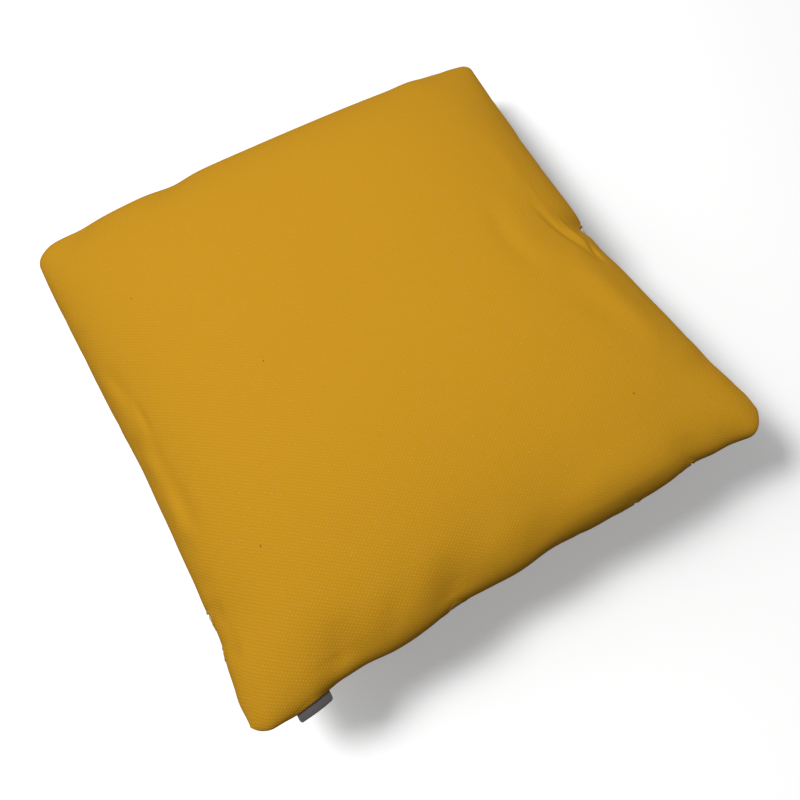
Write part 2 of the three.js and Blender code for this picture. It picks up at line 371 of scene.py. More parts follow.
    def plan(self, u: np.ndarray, v: np.ndarray) -> tuple[np.ndarray, np.ndarray]:
        """Plan position of the panel's points.

        Args:
            u: Panel places along X, from -1 to 1.
            v: Panel places along Y, from -1 to 1.

        Returns:
            The points' x and y.
        """
        x, y = self.half * u, self.half * v
        for corner in self.CORNERS:
            x, y = corner.rounded(x, y, self.half)
            near = corner.nearness(u, v) ** self.droop_power
            x, y = x + corner.shift[0] * near, y + corner.shift[1] * near
        for side, shape in self.SIDES.items():
            away, along = side.places(u, v, self.half)
            t = along / self.half
            fade = (1 - away / self.side) ** self.draw_reach
            pull = shape.draw * np.maximum(0, 1 - t**2) ** shape.power * (1 + shape.skew * t) * fade
            x, y = x + side.value[0] * pull, y + side.value[1] * pull
        for pinch in self.PINCHES:
            away, along = pinch.side.places(u, v, self.half)
            pull = pinch.pull * bell(along - pinch.at, pinch.length) * bell(away, self.pinch_reach)
            x, y = x + pinch.side.value[0] * pull, y + pinch.side.value[1] * pull
        return x, y

    def widest_height(self, u: np.ndarray, v: np.ndarray) -> np.ndarray:
        """Height of the widest line, carried on over the whole panel.

        Args:
            u: Panel places along X, from -1 to 1.
            v: Panel places along Y, from -1 to 1.

        Returns:
            The heights.
        """
        height = np.full(np.shape(u), self.seam_height)
        for corner in self.CORNERS:
            height -= corner.droop * corner.nearness(u, v) ** self.droop_power
        return height

    def fullness(self, u: np.ndarray, v: np.ndarray, along: float) -> np.ndarray:
        """How far the filling lifts a panel, from 0 at the sides to 1 in the middle."""
        return np.sqrt(np.maximum(0, 1 - np.abs(u) ** along) * np.maximum(0, 1 - np.abs(v) ** along))

    def hollows(self, u: np.ndarray, v: np.ndarray) -> np.ndarray:
        """Depth of the hollows that run into the panels from the pinches.

        Args:
            u: Panel places along X, from -1 to 1.
            v: Panel places along Y, from -1 to 1.

        Returns:
            The depths.
        """
        depth = np.zeros(np.shape(u))
        for pinch in self.PINCHES:
            away, along = pinch.side.places(u, v, self.half)
            run = away / self.hollow_peak
            width = pinch.length * (1 + self.hollow_spread * run)
            depth += pinch.hollow * run * np.exp(1 - run) * bell(along - pinch.at, width)
        return depth

    def creases(self, x: np.ndarray, y: np.ndarray) -> np.ndarray:
        """Depth of the front panel's creases.

        Args:
            x: Plan positions along X.
            y: Plan positions along Y.

        Returns:
            The depths, negative on ridges.
        """
        total = np.zeros(np.shape(x))
        for crease in self.CREASES.values():
            line = bent_line(crease.start, crease.via, crease.end, self.CREASE_STEPS)
            window = self.CREASE_WINDOW * crease.width
            near = (x > line[:, 0].min() - window) & (x < line[:, 0].max() + window)
            near &= (y > line[:, 1].min() - window) & (y < line[:, 1].max() + window)
            away = np.hypot(x[near][:, None] - line[:, 0], y[near][:, None] - line[:, 1])
            nearest = away.argmin(axis=1)
            reach = bell(away[np.arange(len(nearest)), nearest], crease.width)
            total[near] += crease.depth * np.sin(math.pi * nearest / self.CREASE_STEPS) * reach
        return total

    def rested(self, z: np.ndarray) -> np.ndarray:
        """Height of a surface that comes to rest on z = 0 and turns into it softly."""
        turning = (np.maximum(z + self.rest_ease, 0)) ** 2 / (4 * self.rest_ease)
        return np.where(z >= self.rest_ease, z, turning)

    def surface(self, u: np.ndarray, v: np.ndarray, panel: Panel) -> np.ndarray:
        """Points of a panel.

        Args:
            u: Panel places along X, from -1 to 1.
            v: Panel places along Y, from -1 to 1.
            panel: Above or below the widest line.

        Returns:
            The points, with x, y and z on the last axis.
        """
        x, y = self.plan(u, v)
        height = self.widest_height(u, v)
        if panel is Panel.FRONT:
            swell = self.crown * self.fullness(u, v, self.crown_along)
            fade = np.minimum(1, swell / (self.seam_share * self.crown))
            z = height + swell - fade * (self.hollows(u, v) + self.creases(x, y))
        else:
            sag = self.belly * self.fullness(u, v, self.belly_along)
            fade = np.minimum(1, sag / (self.seam_share * self.belly))
            z = self.rested(height - sag + fade * self.hollows(u, v))
        return np.stack([x, y, z], axis=-1)

    def tuck(self, side: Side, along: np.ndarray) -> np.ndarray:
        """How far below the widest line the seam runs, measured over the cloth.

        Args:
            side: The side.
            along: Distance along it from its middle.

        Returns:
            The distances, negative where the seam rises above the widest line.
        """
        further = self.SIDES[side].tuck - self.corner_tuck
        depth = self.corner_tuck + further * (1 - np.abs(along / self.half) ** self.belly_along)
        for rise in self.RISES.values():
            if rise.side is side:
                depth = depth - rise.height * bell(along - rise.at, rise.length)
        return depth


@dataclass(frozen=True)
class ClothPlan:
    """A panel of the form laid out flat: how far each of its points is along both threads of the cloth.

    Attributes:
        across: Distance along the weft from the middle, on an even net of the eased places.
        up: Distance along the warp from the middle, on the same net.
    """

    across: np.ndarray
    up: np.ndarray

    NET = 160

    @classmethod
    def of(cls, form: CushionForm, panel: Panel) -> "ClothPlan":
        """Measures a panel of the form along its rows and columns.

        Args:
            form: The filled cushion.
            panel: Which of its panels.

        Returns:
            The panel, laid out flat.
        """
        places = eased(np.linspace(-1, 1, cls.NET + 1), crowding=1)
        u, v = np.meshgrid(places, places, indexing="ij")
        points = form.surface(u, v, panel)
        runs = []
        for axis in range(2):
            steps = np.linalg.norm(np.diff(points, axis=axis), axis=2)
            start = np.zeros_like(np.take(steps, [0], axis=axis))
            run = np.concatenate([start, np.cumsum(steps, axis=axis)], axis=axis)
            runs.append(run - np.take(run, [cls.NET // 2], axis=axis))
        return cls(*runs)

    def at(self, u: np.ndarray, v: np.ndarray) -> np.ndarray:
        """Place on the flat cloth of the panel's points.

        Args:
            u: Panel places along X, from -1 to 1.
            v: Panel places along Y, from -1 to 1.

        Returns:
            The distances along the weft and the warp, on the last axis.
        """
        i, j = (
            np.clip((np.arcsin(np.clip(w, -1, 1)) * 2 / math.pi + 1) / 2 * self.NET, 0, self.NET - 1e-6)
            for w in (u, v)
        )
        low_i, low_j = i.astype(int), j.astype(int)
        share_i, share_j = i - low_i, j - low_j
        found = []
        for net in (self.across, self.up):
            low = net[low_i, low_j] * (1 - share_i) + net[low_i + 1, low_j] * share_i
            high = net[low_i, low_j + 1] * (1 - share_i) + net[low_i + 1, low_j + 1] * share_i
            found.append(low * (1 - share_j) + high * share_j)
        return np.stack(found, axis=-1)


@dataclass
class PanelNet:
    """The cells of one panel, from its middle to the seam.

    Attributes:
        points: Vertices.
        cloth: Each vertex's place on the flat cloth.
        seam: Each vertex's place along the seam and distance from it.
        cells: Four vertices for each cell, facing out.
        hem: The vertices on the seam, in order round it.
        seam_start: The first vertex of the rows beside the seam.
    """

    points: np.ndarray
    cloth: np.ndarray
    seam: np.ndarray
    cells: np.ndarray
    hem: np.ndarray
    seam_start: int


@dataclass
class Cover:
    """The sewn and filled cover.

    Attributes:
        form: Its surface.
        cells: Cells along each side.
        crowding: How far the cells draw together towards the corners.
        core: Share of the panel that a square net covers; rows that follow the seam do the rest.
        rows: Rows between that net and the seam, for the front and the back panel.
        first_row: Depth of the row beside the seam.
        groove_depth: How far the seam is sunk between the panels.
        groove_width: Half-width of that groove.
        roll: How far the cloth swells out beside the groove.
        roll_at: From the seam to the top of that swelling.
        roll_width: Its half-width.
        pucker_count: Small puckers round the seam of each panel.
        pucker_depth: Depth of the deepest of them.
        pucker_length: Half-length of a pucker along the seam.
        pucker_peak: From the seam to a pucker's deepest place.
        front_bake_share: Share of the bake map's height that the front panel fills.
        bake_margin: Bare edge round each panel in that map.
    """

    form: CushionForm
    cells: int = 160
    crowding: float = 0.55
    core: float = 0.93
    rows: tuple[int, int] = (30, 20)
    first_row: float = 0.0004
    groove_depth: float = 0.0016
    groove_width: float = 0.0013
    roll: float = 0.0006
    roll_at: float = 0.0040
    roll_width: float = 0.0030
    pucker_count: int = 90
    pucker_depth: float = 0.0006
    pucker_length: float = 0.006
    pucker_peak: float = 0.007
    front_bake_share: float = 0.64
    bake_margin: float = 0.005

    PROFILE_STEPS = 60
    SEED = 7
    # Shares of a pucker's sizes between which chance picks
    PUCKER_DEPTHS = (0.1, 1)
    PUCKER_LENGTHS = (0.6, 1.6)
    PUCKER_PEAKS = (0.6, 1.8)
    # Share by which a pucker widens from the seam to its deepest place
    PUCKER_SPREAD = 0.3

    @property
    def seam_length(self) -> float:
        """Once round the seam, taken as straight sides."""
        return 4 * self.form.side

    def edge_loop(self) -> tuple[np.ndarray, np.ndarray, list[Side]]:
        """The net's border, once round from the corner at -X and -Y.

        Returns:
            Its places along X and along Y, and the side that each point belongs to.
        """
        run = eased(2 * np.arange(self.cells) / self.cells - 1, self.crowding)
        back = -run
        one = np.ones(self.cells)
        u = np.concatenate([run, one, back, -one])
        v = np.concatenate([-one, run, one, back])
        sides = [s for s in (Side.FRONT, Side.RIGHT, Side.BACK, Side.LEFT) for _ in range(self.cells)]
        return u, v, sides

    def profiles(self) -> tuple[np.ndarray, np.ndarray]:
        """Measures the surface across the widest line, from the front panel's net to the back panel's.

        Returns:
            Steps from -1 to 1, and the distance over the cloth from the widest line at each of them,
            a row for each point of the border.
        """
        u, v, _ = self.edge_loop()
        steps = np.linspace(-1, 1, 2 * self.PROFILE_STEPS + 1)
        points = self.across_edge(u[:, None], v[:, None], steps[None, :])
        runs = np.cumsum(np.linalg.norm(np.diff(points, axis=1), axis=2), axis=1)
        runs = np.concatenate([np.zeros((len(u), 1)), runs], axis=1)
        return steps, runs - runs[:, [self.PROFILE_STEPS]]

    def share(self, steps: np.ndarray) -> np.ndarray:
        """Share of the panel's half-width that a profile's step lies at."""
        return 1 - (1 - self.core) * steps**2

    def across_edge(self, u: np.ndarray, v: np.ndarray, steps: np.ndarray) -> np.ndarray:
        """Points across the widest line.

        Args:
            u: Places of the border along X.
            v: Places of the border along Y.
            steps: Below 0 on the front panel's side of the widest line, and above 0 on the back's.

        Returns:
            The points.
        """
        share = self.share(steps)
        above = self.form.surface(u * share, v * share, Panel.FRONT)
        below = self.form.surface(u * share, v * share, Panel.BACK)
        return np.where((steps <= 0)[..., None], above, below)

    def seam_depth(self) -> np.ndarray:
        """Places the seam under the border of the net.

        Returns:
            How far below the widest line it runs, for each point of the border.
        """
        u, v, sides = self.edge_loop()
        depths = np.zeros(len(u))
        for side in Side:
            here = np.array([s is side for s in sides])
            _, along = side.places(u[here], v[here], self.form.half)
            depths[here] = self.form.tuck(side, along)
        return depths

    def panel_net(self, panel: Panel) -> PanelNet:
        """Lays out the vertices and cells of one panel.

        Args:
            panel: Which of the two.

        Returns:
            The panel's net.
        """
        cells, rows = self.cells, self.rows[panel.value]
        even = eased(2 * np.arange(cells + 1) / cells - 1, self.crowding) * self.core
        core_u, core_v = (w.ravel() for w in np.meshgrid(even, even, indexing="ij"))
        points = [self.form.surface(core_u, core_v, panel)]
        laid = ClothPlan.of(self.form, panel)
        cloth = [laid.at(core_u, core_v)]
        u, v, sides = self.edge_loop()
        steps, runs = self.profiles()
        seam = self.seam_depth()
        sign = -1 if panel is Panel.FRONT else 1
        reach = np.abs(runs[:, 0 if panel is Panel.FRONT else -1] - seam)
        edge_run = np.cumsum(np.hypot(np.diff(u, append=u[0]), np.diff(v, append=v[0]))) * self.form.half
        far = np.full(len(core_u), sign * 1.0)
        seam_map = [np.stack([np.zeros(len(core_u)), far], axis=-1)]
        outward = np.array([[-w for w in s.value] for s in sides])
        start = self.first_row * rows / reach
        for row in range(1, rows + 1):
            left = 1 - row / rows
            distance = reach * (start * left + (1 - start) * left**2)
            at = seam + sign * distance
            step = np.array([np.interp(at[k], runs[k], steps) for k in range(len(u))])
            points.append(self.across_edge(u, v, step))
            # Past the widest line the flat cloth is carried straight on from the border
            own = step * sign >= 0
            share = np.where(own, self.share(step), 1)
            over = np.where(own, 0, np.abs(at))
            cloth.append(laid.at(u * share, v * share) + outward * over[:, None])
            seam_map.append(np.stack([edge_run, sign * distance], axis=-1))
        joined, hem = self.join_cells(rows)
        return PanelNet(
            points=np.concatenate(points),
            cloth=np.concatenate(cloth),
            seam=np.concatenate(seam_map),
            cells=joined if panel is Panel.FRONT else joined[:, ::-1],
            hem=hem,
            seam_start=len(core_u),
        )

    def join_cells(self, rows: int) -> tuple[np.ndarray, np.ndarray]:
        """Joins the vertices of a panel's square net, and of the rows round it, into cells.

        Args:
            rows: Rows between the square net and the seam.

        Returns:
            Four vertices for each cell, and the vertices on the seam in order.
        """
        ids = np.arange((self.cells + 1) ** 2).reshape(self.cells + 1, self.cells + 1)
        border = np.concatenate([ids[:-1, 0], ids[-1, :-1], ids[:0:-1, -1], ids[0, :0:-1]])
        rings = [border, *(ids.size + np.arange(rows * len(border)).reshape(rows, len(border)))]
        quads = [np.stack([ids[:-1, :-1], ids[1:, :-1], ids[1:, 1:], ids[:-1, 1:]], axis=-1).reshape(-1, 4)]
        for inner, outer in zip(rings[:-1], rings[1:]):
            quads.append(np.stack([inner, outer, np.roll(outer, -1), np.roll(inner, -1)], axis=-1))
        return np.concatenate(quads), rings[-1]

    def relief(self, net: PanelNet, panel: Panel) -> np.ndarray:
        """How far each vertex stands out of the plain form beside the seam.

        Args:
            net: The panel's net.
            panel: Which of the two.

        Returns:
            The heights, negative in the seam's groove and in its puckers.
        """
        along, away = net.seam.T
        away = np.abs(away)
        height = -self.groove_depth * bell(away, self.groove_width)
        height += self.roll * bell(away - self.roll_at, self.roll_width)
        random = np.random.default_rng(self.SEED + panel.value)
        length = self.seam_length
        for _ in range(self.pucker_count):
            at = random.uniform(0, length)
            depth = self.pucker_depth * random.uniform(*self.PUCKER_DEPTHS) ** 2
            width = self.pucker_length * random.uniform(*self.PUCKER_LENGTHS)
            run = away / (self.pucker_peak * random.uniform(*self.PUCKER_PEAKS))
            offset = (along - at + length / 2) % length - length / 2
            height -= depth * run * np.exp(1 - run) * bell(offset, width * (1 + self.PUCKER_SPREAD * run))
        height[: net.seam_start] = 0
        return height

    def sew(self, name: str) -> bpy.types.Object:
        """Builds the cover's mesh.

        Args:
            name: The piece's name.

        Returns:
            The new object, its front panel in material slot 0 and its back panel in slot 1.
        """
        front, back = (self.panel_net(panel) for panel in Panel)
        kept = np.setdiff1d(np.arange(len(back.points)), back.hem)
        joined = np.zeros(len(back.points), int)
        joined[kept] = len(front.points) + np.arange(len(kept))
        joined[back.hem] = front.hem
        points = np.concatenate([front.points, back.points[kept]])
        cells = np.concatenate([front.cells, joined[back.cells]])
        relief = np.concatenate([self.relief(front, Panel.FRONT), self.relief(back, Panel.BACK)[kept]])
        points = points + relief[:, None] * vertex_normals(points, cells)
        points[:, 2] = np.maximum(points[:, 2], 0)
        obj = mesh_object(name, points, cells)
        mesh = obj.data
        mesh.polygons.foreach_set(
            "material_index", np.repeat([0, 1], [len(front.cells), len(back.cells)]).astype(np.int32)
        )
        cloth = np.concatenate([front.cloth[front.cells.ravel()], back.cloth[back.cells.ravel()]])
        seam = np.concatenate([self.seam_places(front), self.seam_places(back)])
        add_map(mesh, BAKE_MAP, self.bake_places(front, back))
        add_map(mesh, CLOTH_MAP, cloth)
        add_map(mesh, SEAM_MAP, seam)
        return obj

    def seam_places(self, net: PanelNet) -> np.ndarray:
        """Place along the seam and distance from it for each corner of each cell, whole across its start.

        Args:
            net: A panel's net.

        Returns:
            A row for each corner of each cell.
        """
        places = net.seam[net.cells]
        along = places[..., 0]
        beside = (net.cells >= net.seam_start).all(axis=1)
        crosses = beside & (np.ptp(along, axis=1) > self.seam_length / 2)
        along[crosses] += np.where(along[crosses] < self.seam_length / 2, self.seam_length, 0)
        return places.reshape(-1, 2)

    def bake_places(self, front: PanelNet, back: PanelNet) -> np.ndarray:
        """Lays the two panels one above the other in the unit square, the front one larger.

        Args:
            front: The front panel's net.
            back: The back panel's net.

        Returns:
            A place for each corner of each cell.
        """
        parts = []
        low = 0.0
        for net, share in ((front, self.front_bake_share), (back, 1 - self.front_bake_share)):
            places = net.cloth[net.cells.ravel()]
            spread = (places / np.abs(places).max() + 1) / 2
            size = np.array([1, share]) - 2 * self.bake_margin
            parts.append(np.array([0, low]) + self.bake_margin + spread * size)
            low += share
        return np.concatenate(parts)


def vertex_normals(points: np.ndarray, cells: np.ndarray) -> np.ndarray:
    """Unit normals at the vertices of a mesh of four-sided cells.

    Args:
        points: Vertices, one row each.
        cells: Four vertices for each cell.

    Returns:
        A normal for each vertex.
    """
    a, b, c, d = (points[cells[:, k]] for k in range(4))
    facing = np.cross(c - a, d - b)
    normals = np.zeros_like(points)
    for k in range(4):
        np.add.at(normals, cells[:, k], facing)
    return normals / np.maximum(np.linalg.norm(normals, axis=1, keepdims=True), 1e-15)


def mesh_object(name: str, points: np.ndarray, cells: np.ndarray) -> bpy.types.Object:
    """Makes a smooth-shaded mesh object.

    Args:
        name: Its name.
        points: Vertices, one row each.
        cells: Four vertices for each face.

    Returns:
        The object, linked to the scene.
    """
    mesh = bpy.data.meshes.new(name)
    mesh.from_pydata(points.tolist(), [], cells.tolist())
    mesh.polygons.foreach_set("use_smooth", np.ones(len(cells), bool))
    mesh.update()
    obj = bpy.data.objects.new(name, mesh)
    bpy.context.scene.collection.objects.link(obj)
    return obj


def add_map(mesh: bpy.types.Mesh, name: str, places: np.ndarray) -> None:
    """Adds a UV map that holds a place for each corner of each face."""
    layer = mesh.uv_layers.new(name=name)
    layer.data.foreach_set("uv", places.astype(np.float32).ravel())


@dataclass
class LabelTab:
    """A strip of woven tape folded in two, its cut ends caught in the seam of the front side.

    Attributes:
        form: The cushion that it is sewn into.
        middle: Its place along the front side, from that side's middle.
        length: Along the seam, which is the tape's width.
        reach: From the widest line to the fold.
        caught: How far its ends reach into the seam.
        tape: Thickness of one layer.
        parting: Between the two layers.
        droop: Drop of the fold below the seam.
        follow: Share of the seam's own rise and fall that the label takes.
        corner_radius: Rounding of the fold's two ends.
        stations: Stations along the seam.
        crowding: How far they draw together towards the label's two ends.
        layer_steps: Steps from the seam to the fold.
        fold_steps: Steps round the fold.
    """

    form: CushionForm
    middle: float = -0.192
    length: float = 0.0275
    reach: float = 0.0065
    caught: float = 0.0015
    tape: float = 0.0006
    parting: float = 0.0007
    droop: float = 0.0015
    follow: float = 0.7
    corner_radius: float = 0.0020
    stations: int = 64
    crowding: float = 0.8
    layer_steps: int = 16
    fold_steps: int = 14

    @property
    def fold_radius(self) -> float:
        """Radius of the tape's middle round the fold."""
        return (self.parting + self.tape) / 2

    @property
    def cut_length(self) -> float:
        """Length that the tape is cut to before it is folded."""
        straight = self.reach - self.tape / 2 - self.fold_radius + self.caught
        return 2 * straight + math.pi * self.fold_radius

    def tape_line(self, reach: float) -> np.ndarray:
        """Middle of the tape in a cut across the seam: out along the lower layer and back along the upper.

        Args:
            reach: From the widest line to the fold.

        Returns:
            Distance out from the widest line and height above the label's middle, a row for each step.
        """
        radius = self.fold_radius
        turn = reach - self.tape / 2 - radius
        out = np.linspace(-self.caught, turn, self.layer_steps + 1)
        angle = np.linspace(-math.pi / 2, math.pi / 2, self.fold_steps + 1)[1:-1]
        fold = np.stack([turn + radius * np.cos(angle), radius * np.sin(angle)], axis=1)
        lower = np.stack([out, np.full(len(out), -radius)], axis=1)
        return np.concatenate([lower, fold, lower[::-1] * [1, -1]])

    def station(self, along: float) -> np.ndarray:
        """A cut across the label.

        Args:
            along: Place along the front side.

        Returns:
            The outer skin's points, then the inner skin's.
        """
        from_end = self.length / 2 - abs(along - self.middle)
        in_round = max(0, self.corner_radius - from_end)
        cut = self.corner_radius - math.sqrt(max(0, self.corner_radius**2 - in_round**2))
        line = self.tape_line(self.reach - cut)
        ahead = np.concatenate([line[1:], line[-1:]])
        behind = np.concatenate([line[:1], line[:-1]])
        run = ahead - behind
        normal = np.stack([run[:, 1], -run[:, 0]], axis=1) / np.hypot(*run.T)[:, None]
        u, v = np.array(along / self.form.half), np.array(-1.0)
        x, y = self.form.plan(u, v)
        seam = self.form.widest_height(u, v) - self.follow * self.form.tuck(Side.FRONT, np.array(along))
        skins = []
        for side in (1, -1):
            out, up = (line + side * normal * self.tape / 2).T
            drop = self.droop * np.maximum(out / self.reach, 0) ** 2
            skins.append(np.stack([np.full(len(out), float(x)), y - out, seam + up - drop], axis=1))
        return np.concatenate(skins)

    def fold(self, name: str) -> bpy.types.Object:
        """Builds the label's mesh.

        Args:
            name: The piece's name.

        Returns:
            The new object.
        """
        even = 2 * np.arange(self.stations + 1) / self.stations - 1
        places = self.middle + eased(even, self.crowding) * self.length / 2
        points = np.array([self.station(along) for along in places])
        count, both, _ = points.shape
        steps = both // 2
        ids = np.arange(count * both).reshape(count, both)
        outer, inner = ids[:, :steps], ids[:, steps:]
        quads = [
            self.strip(outer[:-1], outer[1:])[:, ::-1],
            self.strip(inner[:-1], inner[1:]),
            np.stack([outer[:-1, 0], inner[:-1, 0], inner[1:, 0], outer[1:, 0]], axis=1),
            np.stack([outer[:-1, -1], outer[1:, -1], inner[1:, -1], inner[:-1, -1]], axis=1),
        ]
        for end, turned in ((0, False), (-1, True)):
            cap = np.stack([outer[end, :-1], outer[end, 1:], inner[end, 1:], inner[end, :-1]], axis=1)
            quads.append(cap[:, ::-1] if turned else cap)
        cells = np.concatenate(quads)[:, ::-1]
        obj = mesh_object(name, points.reshape(-1, 3), cells)
        stretches = np.linalg.norm(np.diff(points[count // 2, :steps], axis=0), axis=1)
        run = np.concatenate([[0], np.cumsum(stretches)])
        along = np.repeat(places[:, None] - self.middle, both, axis=1)
        across = np.tile(np.concatenate([run, run]), (count, 1))
        add_map(obj.data, CLOTH_MAP, np.stack([along.ravel(), across.ravel()], axis=1)[cells.ravel()])
        return obj

    @staticmethod
    def strip(here: np.ndarray, there: np.ndarray) -> np.ndarray:
        """Cells between neighbouring stations of one skin."""
        return np.stack([here[:, :-1], there[:, :-1], there[:, 1:], here[:, 1:]], axis=-1).reshape(-1, 4)


@dataclass(frozen=True)
class Shade:
    """A number that changes over a surface: a node's output socket, open to Python's operators."""

    bench: "Bench"
    socket: bpy.types.NodeSocket

    def math(self, operation: str, *others: "Shade | float") -> "Shade":
        """Adds a Math node behind this number."""
        return self.bench.number(operation, self, *others)

    def __add__(self, other: "Shade | float") -> "Shade":
        """Sum."""
        return self.math("ADD", other)

    def __radd__(self, other: float) -> "Shade":
        """Sum with a plain number on the left."""
        return self.math("ADD", other)

    def __sub__(self, other: "Shade | float") -> "Shade":
        """Difference."""
        return self.math("SUBTRACT", other)

    def __rsub__(self, other: float) -> "Shade":
        """Difference from a plain number."""
        return self.bench.number("SUBTRACT", other, self)

    def __mul__(self, other: "Shade | float") -> "Shade":
        """Product."""
        return self.math("MULTIPLY", other)

    def __rmul__(self, other: float) -> "Shade":
        """Product with a plain number on the left."""
        return self.math("MULTIPLY", other)

    def __truediv__(self, other: "Shade | float") -> "Shade":
        """Quotient."""
        return self.math("DIVIDE", other)

    def __pow__(self, other: "Shade | float") -> "Shade":
        """Power."""
        return self.math("POWER", other)

    def __neg__(self) -> "Shade":
        """The number with its sign changed."""
        return self.math("MULTIPLY", -1.0)

    def cos(self) -> "Shade":
        """Cosine."""
        return self.math("COSINE")

    def abs(self) -> "Shade":
        """Size without its sign."""
        return self.math("ABSOLUTE")

    def floor(self) -> "Shade":
        """Whole number below."""
        return self.math("FLOOR")

    def bell(self, width: float) -> "Shade":
        """A smooth bump of height 1 where this number is 0, that falls off over the given width."""
        return self.bench.number("EXPONENT", -((self / width) ** 2.0))

    def rise(self, low: float, high: float) -> "Shade":
        """Turns smoothly from 0 at the low value to 1 at the high one.

        Args:
            low: Where it leaves 0.
            high: Where it reaches 1.

        Returns:
            The smoothed share.
        """
        span = {"Value": self, "From Min": low, "From Max": high}
        node = self.bench.node("ShaderNodeMapRange", {"interpolation_type": "SMOOTHSTEP"}, span)
        return self.bench.out(node, "Result")


class Bench:
    """The node tree of one material, with one method that adds nodes of any type."""

    def __init__(self, tree: bpy.types.NodeTree) -> None:
        """Clears the tree that it works on."""
        self.tree = tree
        self.tree.nodes.clear()

    def node(self, kind: str, settings: dict[str, Any], sockets: dict[str | int, Any]) -> bpy.types.Node:
        """Adds a node.

        Args:
            kind: The node's type.
            settings: Its own settings, set first.
            sockets: What its inputs get, by name or number: a plain value, a Shade or an output socket.

        Returns:
            The node.
        """
        node = self.tree.nodes.new(kind)
        for name, setting in settings.items():
            setattr(node, name, setting)
        for name, value in sockets.items():
            if isinstance(value, Shade):
                value = value.socket
            if isinstance(value, bpy.types.NodeSocket):
                self.tree.links.new(value, node.inputs[name])
            else:
                node.inputs[name].default_value = value
        return node

    def out(self, node: bpy.types.Node, name: str | int = 0) -> Shade:
        """A node's output as a number to work on."""
        return Shade(self, node.outputs[name])

    def number(self, operation: str, *values: "Shade | float") -> Shade:
        """Adds a Math node on up to three values."""
        return self.out(self.node("ShaderNodeMath", {"operation": operation}, dict(enumerate(values))))

    def vector(self, operation: str, *values: Any) -> bpy.types.NodeSocket:
        """Adds a Vector Math node on up to three vectors."""
        node = self.node("ShaderNodeVectorMath", {"operation": operation}, dict(enumerate(values)))
        return node.outputs["Vector"]

    def pair(self, x: "Shade | float", y: "Shade | float") -> bpy.types.NodeSocket:
        """Joins two numbers into a vector."""
        return self.node("ShaderNodeCombineXYZ", {}, {"X": x, "Y": y}).outputs["Vector"]

    def split(self, vector: bpy.types.NodeSocket) -> tuple[Shade, Shade]:
        """The first two numbers of a vector."""
        node = self.node("ShaderNodeSeparateXYZ", {}, {"Vector": vector})
        return self.out(node, "X"), self.out(node, "Y")

    def place(self, name: str) -> bpy.types.NodeSocket:
        """Place on a UV map."""
        return self.node("ShaderNodeUVMap", {"uv_map": name}, {}).outputs["UV"]

    def noise(self, vector: bpy.types.NodeSocket, scale: float, detail: float = 2.0) -> bpy.types.Node:
        """Adds a Noise Texture node.

        Args:
            vector: Where it is read.
            scale: Bumps over one unit.
            detail: Finer layers on top of the first.

        Returns:
            The node, with a number and a colour.
        """
        sockets = {"Vector": vector, "Scale": scale, "Detail": detail}
        return self.node("ShaderNodeTexNoise", {"noise_dimensions": "3D"}, sockets)

    def blend(self, share: "Shade | float", first: Any, second: Any) -> bpy.types.NodeSocket:
        """Blends two colours.

        Args:
            share: How much of the second.
            first: A colour or a link to one.
            second: The other.

        Returns:
            The blended colour.
        """
        ready = [(*c, 1.0) if isinstance(c, tuple) else c for c in (first, second)]
        settings = {"data_type": "RGBA", "clamp_factor": True}
        node = self.node("ShaderNodeMix", settings, {0: share, 6: ready[0], 7: ready[1]})
        return node.outputs[2]

    def surface(self, sockets: dict[str, Any], relief: Shade, depth: float) -> None:
        """Ends the tree in a Principled shader with a bump.

        Args:
            sockets: The shader's own inputs.
            relief: Height of the surface's fine relief.
            depth: Distance in metres that a relief of 1 stands for.
        """
        bump = self.node("ShaderNodeBump", {}, {"Strength": 1.0, "Distance": depth, "Height": relief})
        sockets = {**sockets, "Normal": bump.outputs["Normal"]}
        shader = self.node("ShaderNodeBsdfPrincipled", {}, sockets)
        self.node("ShaderNodeOutputMaterial", {}, {"Surface": shader.outputs["BSDF"]})


def new_material(name: str) -> tuple[bpy.types.Material, Bench]:
    """Makes an empty material.

    Args:
        name: Its name.

    Returns:
        The material and the bench for its nodes.
    """
    material = bpy.data.materials.new(name)
    material.use_nodes = True
    return material, Bench(material.node_tree)


